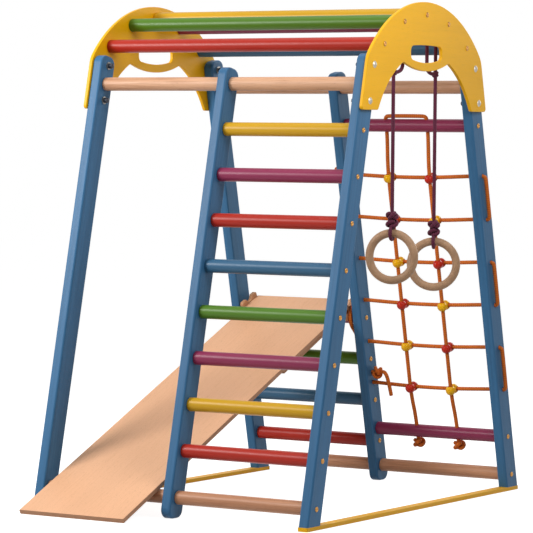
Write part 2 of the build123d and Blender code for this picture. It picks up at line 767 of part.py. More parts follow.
lobe = lobe_diameter / 2
waist = (lobe**2 - lobe_spacing**2 / 4) ** 0.5
lobe_hole = net_rope_diameter / 2 + lobe_clearance
for name, parity in (("net_connectors_red", 0), ("net_connectors_yellow", 1)):
    with BuildPart() as connectors:
        sites = [(x, row - net_sag) for column, x in enumerate(net_up)
                 for number, row in enumerate(net_row) if (column + number) % 2 == parity]
        for x, row in sites:
            spine = Plane(net_point(x, 0, row), x_dir=off_post, z_dir=(1, 0, 0))
            with BuildSketch(spine):
                with BuildLine():
                    ThreePointArc((lobe, 0), (lobe * 0.6, lobe * 0.8), (-lobe_spacing / 2, waist))
                    ThreePointArc((-lobe_spacing / 2, waist), (-lobe_spacing - lobe * 0.6, lobe * 0.8),
                                  (-lobe_spacing - lobe, 0))
                    Line((-lobe_spacing - lobe, 0), (lobe, 0))
                make_face()
            revolve(axis=Axis(net_point(x, 0, row), off_post))
        for x, row in sites:
            with BuildSketch(Plane(net_point(x, 0, row), x_dir=(0, 1, 0), z_dir=(1, 0, 0))):
                Circle(lobe_hole)
            extrude(amount=lobe_diameter, both=True, mode=Mode.SUBTRACT)
            with BuildSketch(Plane(net_point(x, -lobe_spacing, row), x_dir=(1, 0, 0), z_dir=up_post)):
                Circle(lobe_hole)
            extrude(amount=lobe_diameter, both=True, mode=Mode.SUBTRACT)
    save(connectors, name)

# Rings on their ropes.
ring_bend = (ring_outer_diameter - ring_rod_diameter) / 2
rope_radius = ring_rope_diameter / 2
hang = bar_radius + rope_radius + ring_rope_clearance
eye_radius = rope_radius * ring_eye_squeeze
eye_bend = ring_rod_diameter / 2 + eye_radius + ring_rope_clearance
for word, bar, side, x, centre_height, turn in (
        ("front", 1, -1, front_ring_along, front_ring_height, front_ring_turn),
        ("back", 3, 1, back_ring_along, back_ring_height, back_ring_turn)):
    bar_y, bar_z = monkey_place[bar]
    strand_y = bar_y + side * hang
    loop_y = bar_y - side * hang
    rod_height = centre_height + ring_bend
    along = (cos(radians(turn)), sin(radians(turn)), 0)
    facing = (sin(radians(turn)), -cos(radians(turn)), 0)
    eye_height = bar_z - ring_eye_drop
    knot_start = rod_height + eye_bend - ring_knot_drop
    with BuildPart() as rope:
        with BuildLine() as route:
            Line((x, strand_y, knot_start), (x, strand_y, bar_z))
            ThreePointArc((x, strand_y, bar_z), (x, bar_y, bar_z + hang), (x, loop_y, bar_z))
            Line((x, loop_y, bar_z), (x, loop_y, eye_height))
            turn_y = loop_y + side * ring_eye_turn
            turn_out = ring_eye_turn * (1 - 0.5**0.5)
            ThreePointArc((x, loop_y, eye_height),
                          (x, loop_y + side * turn_out, eye_height - ring_eye_turn * 0.5**0.5),
                          (x, turn_y, eye_height - ring_eye_turn))
            Line((x, turn_y, eye_height - ring_eye_turn),
                 (x, strand_y - side * rope_radius, eye_height - ring_eye_turn))
        with BuildSketch(Plane(route.line @ 0, z_dir=route.line % 0)):
            Circle(rope_radius)
        sweep(path=route.line)
        print("ring rope length", round(route.wire().length))
        collar_low = eye_height - ring_eye_turn - ring_eye_collar_length / 2
        with BuildSketch(Plane((x, strand_y, collar_low))):
            Circle(ring_eye_collar / 2)
        extrude(amount=ring_eye_collar_length)
        with Locations(Plane((x, strand_y, rod_height), x_dir=(0, 0, -1), z_dir=along)):
            Torus(eye_bend, eye_radius)
        for wrap in range(ring_knots):
            knot_height = knot_start + ring_rope_diameter + ring_knot_pitch * wrap
            tie_knot((x, strand_y, knot_height), (0, 0, 1), facing, ring_rope_diameter, ring_knot_tilt)
    save(rope, f"ring_rope_{word}")
    with BuildPart() as ring:
        with Locations(Plane((x, strand_y, centre_height), x_dir=along, z_dir=facing)):
            Torus(ring_bend, ring_rod_diameter / 2)
    save(ring, f"gym_ring_{word}")

print("slide slope", round(degrees(slope), 2), "board length", round(board_length, 1))
print("stand set back", round(stand_y, 1))
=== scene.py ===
import math
import bpy
import numpy as np
from mathutils import Matrix, Vector


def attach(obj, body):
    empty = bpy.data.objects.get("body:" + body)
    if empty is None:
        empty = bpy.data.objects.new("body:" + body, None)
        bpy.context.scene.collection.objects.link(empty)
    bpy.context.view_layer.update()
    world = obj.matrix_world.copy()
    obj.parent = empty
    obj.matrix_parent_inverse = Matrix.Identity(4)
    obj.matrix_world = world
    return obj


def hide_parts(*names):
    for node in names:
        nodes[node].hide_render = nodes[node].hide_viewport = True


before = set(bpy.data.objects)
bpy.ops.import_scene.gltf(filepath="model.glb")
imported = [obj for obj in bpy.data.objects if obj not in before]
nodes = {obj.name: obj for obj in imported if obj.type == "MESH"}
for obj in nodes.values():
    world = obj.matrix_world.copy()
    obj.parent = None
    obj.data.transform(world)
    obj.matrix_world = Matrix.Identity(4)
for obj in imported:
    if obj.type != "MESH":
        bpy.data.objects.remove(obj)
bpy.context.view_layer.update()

scene = bpy.context.scene
print("frame loaded:", len(nodes), "nodes")

# camera at the photo's angle, in degrees
cameraSet = {"azimuth": 32.2714, "elevation": 2.592, "roll": 0.4552, "lens": 204.08, "sensor": 36,
             "place": (4.2055, -6.6864, 0.97), "shift": (-0.0002, 0.0013), "sight": 100}


def makeCamera(look):
    turn, rise, roll = (math.radians(look[k]) for k in ("azimuth", "elevation", "roll"))
    back = Vector((math.sin(turn) * math.cos(rise), -math.cos(turn) * math.cos(rise), math.sin(rise)))
    right = (-back).cross(Vector((0, 0, 1))).normalized()
    up = right.cross(-back)
    right, up = (right * math.cos(roll) + up * math.sin(roll),
                 up * math.cos(roll) - right * math.sin(roll))
    lens = bpy.data.cameras.new("photoCamera")
    lens.lens = look["lens"]
    lens.sensor_width = look["sensor"]
    lens.shift_x, lens.shift_y = look["shift"]
    lens.clip_end = look["sight"]
    camera = bpy.data.objects.new("photoCamera", lens)
    scene.collection.objects.link(camera)
    axes = Matrix((right, up, back)).transposed().to_4x4()
    camera.matrix_world = Matrix.Translation(look["place"]) @ axes
    scene.camera = camera


makeCamera(cameraSet)
scene.view_settings.view_transform = "Standard"
print("camera set")


# node helpers
def clearTree(holder):
    # an empty node tree of a material or world
    holder.use_nodes = True
    holder.node_tree.nodes.clear()
    return holder.node_tree


def endTree(tree, kind, surface):
    tree.links.new(surface, tree.nodes.new("ShaderNodeOutput" + kind).inputs[0])


def addNode(tree, kind, inputs=None, out=0, **settings):
    # inputs are wired where the value is a socket, else set
    node = tree.nodes.new("ShaderNode" + kind)
    for key, value in settings.items():
        setattr(node, key, value)
    for key, value in (inputs or {}).items():
        if isinstance(value, bpy.types.NodeSocket):
            tree.links.new(value, node.inputs[key])
        else:
            node.inputs[key].default_value = value
    return node.outputs[out]


class Recipe:
    # one material: a principled shader and short ways to add nodes to it
    def __init__(self, name):
        self.material = bpy.data.materials.new(name)
        self.tree = clearTree(self.material)
        self.skin = self.tree.nodes.new("ShaderNodeBsdfPrincipled")
        endTree(self.tree, "Material", self.skin.outputs[0])

    def add(self, kind, inputs=None, out=0, **settings):
        return addNode(self.tree, kind, inputs, out, **settings)

    def spots(self):
        return self.add("TexCoord", out="Object")

    def mapped(self, scale=(1, 1, 1), turn=(0, 0, 0), shift=(0, 0, 0)):
        # turned first, then stretched, so a grain can follow a leaning post
        turned = self.add("Mapping", {"Vector": self.spots(), "Rotation": turn, "Location": shift})
        return self.add("Mapping", {"Vector": turned, "Scale": scale})

    def noise(self, where, scale, detail, rough, warp=0.0):
        return self.add("TexNoise", {"Vector": where, "Scale": scale, "Detail": detail,
                                     "Roughness": rough, "Distortion": warp})

    def sums(self, how, first, second=0.0):
        return self.add("Math", {0: first, 1: second}, operation=how)

    def spread(self, value, low, high, start=0.0, end=1.0):
        return self.add("MapRange", {"Value": value, "From Min": start, "From Max": end,
                                     "To Min": low, "To Max": high})

    def ramp(self, value, stops):
        node = self.tree.nodes.new("ShaderNodeValToRGB")
        self.tree.links.new(value, node.inputs[0])
        points = node.color_ramp.elements
        while len(points) < len(stops):
            points.new(0.5)
        for point, (place, color) in zip(points, stops):
            point.position = place
            point.color = (*color, 1)
        return node.outputs[0]

    def mottle(self, value, color, dark, pale):
        # a colour that wanders from a darker to a paler tone of itself
        return self.ramp(value, list(zip(noiseSpan, (tone(color, dark), tone(color, pale)))))

    def blend(self, share, first, second, how="MIX"):
        # 6 and 7 are the Mix node's colour sockets, 2 its colour output
        colors = {6: first, 7: second}
        colors = {key: value if isinstance(value, bpy.types.NodeSocket) else (*value, 1)
                  for key, value in colors.items()}
        return self.add("Mix", {0: share, **colors}, out=2, data_type="RGBA", blend_type=how)

    def wire(self, socket, value):
        self.tree.links.new(value, self.skin.inputs[socket])

    def polish(self, value, low, high):
        self.wire("Roughness", self.spread(value, low, high, *noiseSpan))

    def fix(self, **values):
        for key, value in values.items():
            self.skin.inputs[key.replace("_", " ")].default_value = value

    def relief(self, height, strength, depth):
        self.wire("Normal", self.add("Bump", {"Height": height, "Strength": strength, "Distance": depth}))


noiseSpan = (0.3, 0.7)  # most noise values lie between these


def tone(color, by):
    return tuple(min(1.0, c * by) for c in color)


def scaled(stretch, by):
    return tuple(s * by for s in stretch)


# lean of the posts, slope of the slide, and each grain's stretch and turn
lean = math.radians(12.72)
slope = math.radians(23.96)
grainAlong = {"bar": ((6, 190, 190), (0, 0, 0)), "frontPost": ((150, 150, 5), (lean, 0, 0)),
              "backPost": ((150, 150, 5), (-lean, 0, 0)), "panel": ((120, 7, 120), (0, 0, 0)),
              "runner": ((150, 5, 150), (0, 0, 0)), "bracket": ((160, 9, 160), (-slope, 0, 0))}

# in the sets of finishes, a noise is (scale, detail, roughness, warp), a share is
# (to low, to high, from low, from high) and a bump is (strength, depth in metres)

# lacquer over wood: broad tone drift, long pores, brush and dust relief
lacquerSet = {"broad": (1.0, 3.0, 0.5, 0.4), "broadScale": 0.12, "line": (1.0, 4.0, 0.6, 0.15),
              "pores": (1.0, 2.0, 0.5), "poreScale": 5, "poreShift": (0.3, 0.7, 0.1),
              "dust": (420.0, 2.0, 0.5), "driftStops": (0.28, 0.5, 0.74), "paleLine": 0.5,
              "poreShare": (0.0, 0.22, 0.62, 0.72), "poreTone": 0.6, "gloss": (-0.06, 0.08),
              "specular": 0.22, "dustShare": 0.5, "bump": (0.10, 0.0006)}


def lacquer(name, color, run, gloss, drift, pore):
    w = lacquerSet
    recipe = Recipe(name)
    stretch, turn = grainAlong[run]
    broad = recipe.noise(recipe.mapped(scaled(stretch, w["broadScale"]), turn), *w["broad"])
    line = recipe.noise(recipe.mapped(stretch, turn), *w["line"])
    pores = recipe.noise(recipe.mapped(scaled(stretch, w["poreScale"]), turn, w["poreShift"]), *w["pores"])
    dust = recipe.noise(recipe.mapped(), *w["dust"])
    drifts = (tone(color, 1 - drift), color, tone(color, 1 + drift))
    body = recipe.ramp(broad, list(zip(w["driftStops"], drifts)))
    shade = recipe.spread(line, 1 - pore, 1 + w["paleLine"] * pore, *noiseSpan)
    grey = recipe.ramp(shade, [(0.0, (0, 0, 0)), (1.0, (1, 1, 1))])
    lined = recipe.blend(1.0, body, grey, "MULTIPLY")
    flecks = recipe.spread(pores, *w["poreShare"])
    recipe.wire("Base Color", recipe.blend(flecks, lined, tone(color, w["poreTone"])))
    recipe.polish(dust, gloss + w["gloss"][0], gloss + w["gloss"][1])
    recipe.fix(Specular_IOR_Level=w["specular"])
    both = recipe.sums("ADD", line, recipe.sums("MULTIPLY", dust, w["dustShare"]))
    recipe.relief(both, *w["bump"])
    return recipe.material


# clear beech: pale wood with darker streaks and short ray flecks
woodSet = {"broad": (1.0, 4.0, 0.55, 0.8), "broadScale": 0.16, "broadShift": (0.2, 0.4, 0.6),
           "fine": (1.0, 5.0, 0.6, 0.2), "fineScale": 1.6, "rays": (1.0, 1.0, 0.4), "rayAlong": 14,
           "rayAcross": 6, "slow": 20, "paleAt": 0.3, "paleTone": 1.06, "lineShare": (0.0, 0.6, 0.48, 0.74),
           "lineTone": 0.95, "rayShare": (0.0, 0.35, 0.66, 0.74), "rayTone": 0.7, "gloss": (-0.06, 0.1),
           "specular": 0.25, "rayBump": 0.4, "bump": (0.12, 0.0005)}


def clearWood(name, color, dark, run, gloss, streak):
    w = woodSet
    recipe = Recipe(name)
    stretch, turn = grainAlong[run]
    broadStretch = scaled(stretch, w["broadScale"])
    rayStretch = tuple(s * (w["rayAlong"] if s < w["slow"] else w["rayAcross"]) for s in stretch)
    broad = recipe.noise(recipe.mapped(broadStretch, turn, w["broadShift"]), *w["broad"])
    fine = recipe.noise(recipe.mapped(scaled(stretch, w["fineScale"]), turn), *w["fine"])
    rays = recipe.noise(recipe.mapped(rayStretch, turn), *w["rays"])
    pale = (w["paleAt"], tone(color, w["paleTone"]))
    body = recipe.ramp(broad, [pale, (streak[0], color), (streak[1], dark)])
    lined = recipe.blend(recipe.spread(fine, *w["lineShare"]), body, tone(dark, w["lineTone"]))
    flecks = recipe.spread(rays, *w["rayShare"])
    recipe.wire("Base Color", recipe.blend(flecks, lined, tone(dark, w["rayTone"])))
    recipe.polish(fine, gloss + w["gloss"][0], gloss + w["gloss"][1])
    recipe.fix(Specular_IOR_Level=w["specular"])
    recipe.relief(recipe.sums("ADD", fine, recipe.sums("MULTIPLY", rays, w["rayBump"])), *w["bump"])
    return recipe.material


# slide board: beech veneer faces, brown cross-laid layers showing on the edges
boardSet = {"veneer": (0.84, 0.466, 0.264), "dark": (0.58, 0.28, 0.14), "layer": (0.42, 0.20, 0.11),
            "layerPale": (0.60, 0.33, 0.19), "thick": 0.012, "sheet": 0.0017, "skin": (0.0009, 0.0004),
            "broadStretch": (5, 1.2, 5), "broad": (1.0, 3.0, 0.5, 0.5), "fineStretch": (330, 9, 330),
            "fine": (1.0, 5.0, 0.6, 0.25), "rayStretch": (900, 130, 900), "rays": (1.0, 1.0, 0.4),
            "drift": ((0.3, 1.04), (0.75, 0.93)), "lineShare": (0.0, 0.30, 0.5, 0.8),
            "rayShare": (0.0, 0.35, 0.63, 0.72), "rayTone": 0.8, "plyStops": (0.35, 0.65),
            "gloss": (0.38, 0.52), "specular": 0.25, "bump": (0.08, 0.0004)}


def findBoardBase():
    # lowest value of -Y sin + Z cos over the board's points: its underside plane
    mesh = nodes["slide_board"].data
    points = np.empty(len(mesh.vertices) * 3)
    mesh.vertices.foreach_get("co", points)
    points = points.reshape(-1, 3)
    return float((points[:, 2] * math.cos(slope) - points[:, 1] * math.sin(slope)).min())


def boardFinish(name, b):
    recipe = Recipe(name)
    turn = (-slope, 0, 0)
    broad = recipe.noise(recipe.mapped(b["broadStretch"], turn), *b["broad"])
    fine = recipe.noise(recipe.mapped(b["fineStretch"], turn), *b["fine"])
    rays = recipe.noise(recipe.mapped(b["rayStretch"], turn), *b["rays"])
    face = recipe.ramp(broad, [(place, tone(b["veneer"], by)) for place, by in b["drift"]])
    face = recipe.blend(recipe.spread(fine, *b["lineShare"]), face, b["dark"])
    face = recipe.blend(recipe.spread(rays, *b["rayShare"]), face, tone(b["dark"], b["rayTone"]))
    # height over the underside, from the turned coordinate's Z
    turned = recipe.add("Mapping", {"Vector": recipe.spots(), "Rotation": turn})
    over = recipe.sums("SUBTRACT", recipe.add("SeparateXYZ", {0: turned}, out="Z"), findBoardBase())
    layer = recipe.sums("PINGPONG", over, b["sheet"])
    ply = recipe.ramp(recipe.sums("DIVIDE", layer, b["sheet"]),
                      list(zip(b["plyStops"], (b["layer"], b["layerPale"]))))
    half = b["thick"] / 2
    middle = recipe.sums("ABSOLUTE", recipe.sums("SUBTRACT", over, half))
    edge = recipe.spread(middle, 1.0, 0.0, half - b["skin"][0], half - b["skin"][1])
    recipe.wire("Base Color", recipe.blend(edge, face, ply))
    recipe.polish(fine, *b["gloss"])
    recipe.fix(Specular_IOR_Level=b["specular"])
    recipe.relief(recipe.sums("ADD", fine, rays), *b["bump"])
    return recipe.material


# turned hardwood ring: long growth lines and dark pores, a soft sheen
ringWoodSet = {"lineStretch": (240, 240, 60), "lines": (1.0, 5.0, 0.6, 0.6), "broadStretch": (30, 30, 30),
               "broad": (1.0, 3.0, 0.5), "poreStretch": (1300, 1300, 300), "pores": (1.0, 1.0, 0.5),
               "drift": (0.88, 1.15), "lineShare": (0.0, 0.45, 0.45, 0.75), "lineTone": 0.62,
               "poreShare": (0.0, 0.4, 0.62, 0.72), "poreTone": 0.5, "gloss": (0.38, 0.55),
               "specular": 0.3, "bump": (0.12, 0.0004)}


def ringFinish(name, color):
    w = ringWoodSet
    recipe = Recipe(name)
    lines = recipe.noise(recipe.mapped(w["lineStretch"]), *w["lines"])
    broad = recipe.noise(recipe.mapped(w["broadStretch"]), *w["broad"])
    pores = recipe.noise(recipe.mapped(w["poreStretch"]), *w["pores"])
    body = recipe.mottle(broad, color, *w["drift"])
    lined = recipe.blend(recipe.spread(lines, *w["lineShare"]), body, tone(color, w["lineTone"]))
    flecks = recipe.spread(pores, *w["poreShare"])
    recipe.wire("Base Color", recipe.blend(flecks, lined, tone(color, w["poreTone"])))
    recipe.polish(lines, *w["gloss"])
    recipe.fix(Specular_IOR_Level=w["specular"])
    recipe.relief(lines, *w["bump"])
    return recipe.material


# braided cord: painted shade darkens the furrows of the braid, so the crowns stay paler, with fuzz
fuzzSet = {"fibre": (1500.0, 2.0, 0.6), "broad": (22.0, 2.0, 0.5), "drift": (0.9, 1.1),
           "furrowShadeShare": (0.75, 0.0, 0.0, 0.55), "fibreShare": (0.0, 0.22, 0.5, 0.7), "fibreTone": 1.25,
           "gloss": (0.6, 0.8), "sheen": 0.08, "sheenRough": 0.5, "specular": 0.2, "bump": (0.25, 0.0003)}


def cordFinish(name, color, furrowShade):
    w = fuzzSet
    recipe = Recipe(name)
    braid = recipe.add("Attribute", out="Fac", attribute_name="braid")
    fibre = recipe.noise(recipe.mapped(), *w["fibre"])
    broad = recipe.noise(recipe.mapped(), *w["broad"])
    body = recipe.mottle(broad, color, *w["drift"])
    # painted shade: the braid's furrows are mixed towards the darker shade colour
    shadedFurrows = recipe.blend(recipe.spread(braid, *w["furrowShadeShare"]), body, furrowShade)
    fuzz = recipe.spread(fibre, *w["fibreShare"])
    recipe.wire("Base Color", recipe.blend(fuzz, shadedFurrows, tone(color, w["fibreTone"])))
    recipe.polish(fibre, *w["gloss"])
    recipe.fix(Sheen_Weight=w["sheen"], Sheen_Roughness=w["sheenRough"], Specular_IOR_Level=w["specular"])
    recipe.relief(fibre, *w["bump"])
    return recipe.material


# moulded plastic: slight flow marks and a fine orange-peel skin
mouldSet = {"flowStretch": (60, 60, 60), "flow": (1.0, 3.0, 0.5, 1.2), "peel": (380.0, 2.0, 0.5),
            "drift": (0.92, 1.08), "gloss": (0.24, 0.38), "specular": 0.22, "bump": (0.10, 0.0004)}


def mouldFinish(name, color):
    w = mouldSet
    recipe = Recipe(name)
    flow = recipe.noise(recipe.mapped(w["flowStretch"]), *w["flow"])
    peel = recipe.noise(recipe.mapped(), *w["peel"])
    recipe.wire("Base Color", recipe.mottle(flow, color, *w["drift"]))
    recipe.polish(peel, *w["gloss"])
    recipe.fix(Specular_IOR_Level=w["specular"])
    recipe.relief(peel, *w["bump"])
    return recipe.material


# plated metal: cloudy plating, small scratches, slightly uneven polish
plateSet = {"cloud": (260.0, 4.0, 0.6), "scratchStretch": (2600, 300, 2600), "scratch": (1.0, 2.0, 0.5),
            "drift": (0.75, 1.12), "gloss": (-0.08, 0.12), "bump": (0.08, 0.0002)}


def platedFinish(name, color, rough):
    w = plateSet
    recipe = Recipe(name)
    cloud = recipe.noise(recipe.mapped(), *w["cloud"])
    scratch = recipe.noise(recipe.mapped(w["scratchStretch"]), *w["scratch"])
    recipe.wire("Base Color", recipe.mottle(cloud, color, *w["drift"]))
    recipe.polish(cloud, rough + w["gloss"][0], rough + w["gloss"][1])
    recipe.fix(Metallic=1.0)
    recipe.relief(scratch, *w["bump"])
    return recipe.material


# cap nut: a bright washer by the post, past the seam in X, and black oxide on the rest
nutSet = {"dark": (0.05, 0.055, 0.07), "bright": (0.42, 0.40, 0.36), "seam": 0.3824,
          "cloud": (260.0, 4.0, 0.6), "darkDrift": (0.75, 1.2), "brightDrift": (0.8, 1.1),
          "metal": (0.6, 1.0), "gloss": (0.30, 0.46), "bump": (0.06, 0.0002)}


def nutFinish(name, w):
    recipe = Recipe(name)
    out = recipe.sums("ABSOLUTE", recipe.add("SeparateXYZ", {0: recipe.spots()}, out="X"))
    washer = recipe.sums("GREATER_THAN", out, w["seam"])
    cloud = recipe.noise(recipe.mapped(), *w["cloud"])
    black = recipe.mottle(cloud, w["dark"], *w["darkDrift"])
    plate = recipe.mottle(cloud, w["bright"], *w["brightDrift"])
    recipe.wire("Base Color", recipe.blend(washer, black, plate))
    recipe.wire("Metallic", recipe.spread(washer, *w["metal"]))
    recipe.polish(cloud, *w["gloss"])
    recipe.relief(cloud, *w["bump"])
    return recipe.material


# each row is a material's name and colour, then for paints the grain, gloss, drift and pore
# depth, for woods the dark streak's colour, grain, gloss and where streaks start and end, for
# cords the painted shade colour of the braid's furrows and for plates the roughness
blue, yellow = (0.042, 0.152, 0.305), (0.95, 0.485, 0.002)
barLook = ("bar", 0.33, 0.08, 0.07)
paints = {"frontPost": ("blueStain_frontPost", blue, "frontPost", 0.42, 0.14, 0.16),
          "backPost": ("blueStain_backPost", blue, "backPost", 0.42, 0.14, 0.16),
          "panel": ("panelYellow", yellow, "panel", 0.42, 0.04, 0.03),
          "runner": ("runnerYellow", yellow, "runner", 0.42, 0.06, 0.05),
          "red": ("redBar", (0.45, 0.024, 0.011), *barLook),
          "green": ("greenBar", (0.084, 0.198, 0.015), *barLook),
          "purple": ("purpleBar", (0.280, 0.031, 0.088), *barLook),
          "blue": ("blueBar", (0.042, 0.130, 0.235), *barLook),
          "yellow": ("yellowBar", (0.66, 0.365, 0.013), *barLook)}
woods = {"beech": ("beechBar", (0.70, 0.395, 0.235), (0.42, 0.19, 0.095), "bar", 0.4, (0.5, 0.72)),
         "lowBeech": ("lowBeech", (0.66, 0.330, 0.185), (0.39, 0.16, 0.078), "bar", 0.4, (0.5, 0.72)),
         "bracket": ("bracketWood", (0.56, 0.29, 0.145), (0.36, 0.16, 0.07), "bracket", 0.5, (0.55, 0.75)),
         "batten": ("battenWood", (0.48, 0.25, 0.14), (0.32, 0.15, 0.08), "bracket", 0.55, (0.55, 0.75))}
# each cord's second colour is painted shade for the braid's furrows
cords = {"orangeCord": ("orangeCord", (0.72, 0.165, 0.018), (0.30, 0.052, 0.006)),
         "plumCord": ("plumCord", (0.120, 0.020, 0.048), (0.040, 0.007, 0.017))}
plastics = {"redPlastic": ("redPlastic", (0.56, 0.020, 0.004)),
            "yellowPlastic": ("yellowPlastic", (1.0, 0.50, 0.002))}
plates = {"bronze": ("bronzeScrew", (0.42, 0.20, 0.055), 0.42),
          "brass": ("brassHead", (0.43, 0.215, 0.06), 0.30),
          "zinc": ("zincBolt", (0.42, 0.39, 0.34), 0.40)}
ringColor = (0.47, 0.280, 0.160)

finish = {"board": boardFinish("slideBoard", boardSet), "ring": ringFinish("ringWood", ringColor),
          "black": nutFinish("blackNut", nutSet)}
for maker, looks in ((lacquer, paints), (clearWood, woods), (cordFinish, cords), (mouldFinish, plastics),
                     (platedFinish, plates)):
    finish.update({key: maker(*look) for key, look in looks.items()})
print("finishes made:", len(finish))

# which finish each solid wears, by its name or the start of it
ladderColors = ("red", "yellow", "purple", "green", "blue", "red", "purple", "yellow")
backColors = ("red", "blue", "green", "purple")
crownColors = ("red", "green", "yellow", "purple", "blue")
worn = {"net_connectors_red": "redPlastic", "net_connectors_yellow": "yellowPlastic",
        "carriage_bolts": "zinc", "joining_studs": "zinc", "cap_nuts": "black", "slide_board": "board",
        "net_rope_across": "orangeCord", "net_rope_upright": "orangeCord",
        "ring_rope_front": "plumCord", "ring_rope_back": "plumCord"}
starts = (("leg_front", "frontPost"), ("post_front", "frontPost"), ("leg_back", "backPost"),
          ("post_back", "backPost"), ("end_panel", "panel"), ("runner_screws", "bronze"),
          ("runner_", "runner"), ("top_bar", "beech"), ("bottom_bar", "lowBeech"), ("net_bar", "purple"),
          ("slide_hook", "bracket"), ("slide_batten", "batten"), ("gym_ring", "ring"),
          ("rung_screws", "bronze"), ("panel_screws", "bronze"), ("slide_screws", "bronze"))
for stem, colors in (("ladder_rung_", ladderColors), ("back_rung_", backColors),
                     ("monkey_bar_", crownColors)):
    worn.update({stem + str(i + 1): color for i, color in enumerate(colors)})
for name, obj in nodes.items():
    key = worn.get(name) or next(wear for stem, wear in starts if name.startswith(stem))
    obj.data.materials.clear()
    obj.data.materials.append(finish[key])
print("solids dressed:", len(nodes))


# mesh helpers for the new pieces
def skinMesh(name, points, quads, braid, material):
    # whole arrays go into the mesh at once
    mesh = bpy.data.meshes.new(name)
    mesh.vertices.add(len(points))
    mesh.vertices.foreach_set("co", points.astype(np.float32).ravel())
    mesh.loops.add(quads.size)
    mesh.loops.foreach_set("vertex_index", quads.astype(np.int32).ravel())
    mesh.polygons.add(len(quads))
    mesh.polygons.foreach_set("loop_start", np.arange(0, quads.size, 4, dtype=np.int32))
    mesh.polygons.foreach_set("use_smooth", np.ones(len(quads), dtype=bool))
    mesh.update(calc_edges=True)
    layer = mesh.attributes.new("braid", "FLOAT", "POINT")
    layer.data.foreach_set("value", braid.astype(np.float32).ravel())
    mesh.materials.append(material)
    obj = bpy.data.objects.new(name, mesh)
    scene.collection.objects.link(obj)
    return obj


def gridQuads(count, sides, closed):
    # faces between neighbouring rings of points, the last ring joined to the first if closed
    rows, cols = np.arange(count if closed else count - 1)[:, None], np.arange(sides)[None]
    here, ahead, beside = rows * sides, (rows + 1) % count * sides, (cols + 1) % sides
    quads = np.stack([here + cols, here + beside, ahead + beside, ahead + cols], -1)
    return quads.reshape(-1, 4)


def splineLine(name, points, perLeg):
    # points of the route's own NURBS line, as Blender works it out
    curve = bpy.data.curves.new(name, "CURVE")
    curve.dimensions = "3D"
    spline = curve.splines.new("NURBS")
    spline.points.add(len(points) - 1)
    spline.points.foreach_set("co", np.c_[np.array(points), np.ones(len(points))].ravel())
    spline.order_u = 3
    spline.use_endpoint_u = True
    spline.resolution_u = perLeg
    holder = bpy.data.objects.new(name, curve)
    scene.collection.objects.link(holder)
    bpy.context.view_layer.update()
    mesh = bpy.data.meshes.new_from_object(holder)
    line = np.empty(len(mesh.vertices) * 3)
    mesh.vertices.foreach_get("co", line)
    bpy.data.objects.remove(holder)
    bpy.data.curves.remove(curve)
    bpy.data.meshes.remove(mesh)
    return line.reshape(-1, 3)


def runAlong(line):
    return np.r_[0, np.cumsum(np.linalg.norm(np.diff(line, axis=0), axis=1))]


def readAt(at, run, values):
    return np.stack([np.interp(at, run, values[:, k]) for k in range(3)], axis=1)


def crossAxes(axis, side):
    # the unit axis and two unit directions square to it, the first towards side
    axis = np.array(axis, float) / np.linalg.norm(axis)
    first = np.array(side, float) - np.dot(side, axis) * axis
    first /= np.linalg.norm(first)
    return axis, first, np.cross(axis, first)


# braid of every cord; pitch is in diameters, step and endLength are in radii
braidSet = {"strands": 4, "pitch": 1.1, "depth": 0.055, "around": 24, "step": 0.32, "fewest": 8,
            "endRings": 4, "endGap": 0.06, "endLength": 0.5}


